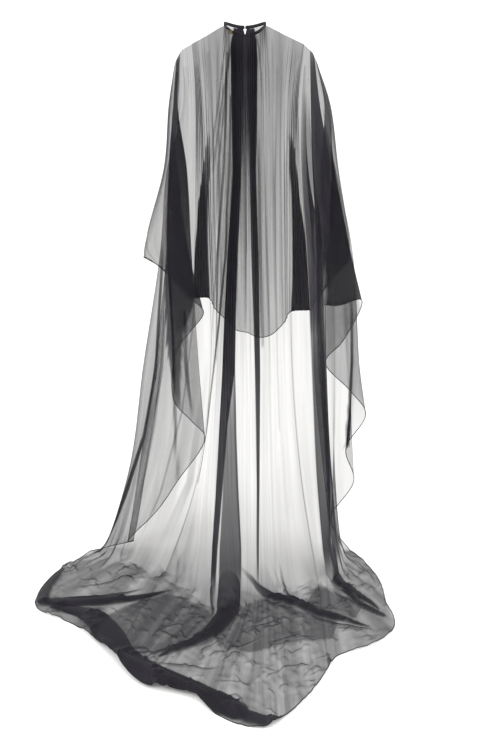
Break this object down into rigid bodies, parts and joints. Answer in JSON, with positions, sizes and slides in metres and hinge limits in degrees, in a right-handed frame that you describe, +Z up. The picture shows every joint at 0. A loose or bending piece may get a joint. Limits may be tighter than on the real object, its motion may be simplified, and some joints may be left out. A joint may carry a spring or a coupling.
{
  "type": "kaftan",
  "caption": "Sheer full-length kaftan in its worn pose: short front, wing sleeves falling in cascades, and a gathered back that runs out into a train on the floor.",
  "frame": {"origin": "centre of the neck opening, level with the back of the neckline", "axes": "+Z up, the wearer faces -Y, the train runs out towards +Y, and +X is at the left in the view from the back"},
  "size_m": [0.971, 1.1227, 1.5405],
  "materials": {
    "chiffon": "soft sheer plain weave, matt",
    "satin": "woven satin strip",
    "wire": "black enamelled wire"
  },
  "bodies": {
    "root": {"back_panel": "chiffon", "front_panel": "chiffon", "left_wing": "chiffon", "right_wing": "chiffon", "neck_binding": "chiffon", "neck_eye": "wire", "neck_hook": "wire", "neck_label": "satin"}
  },
  "joints": []
}
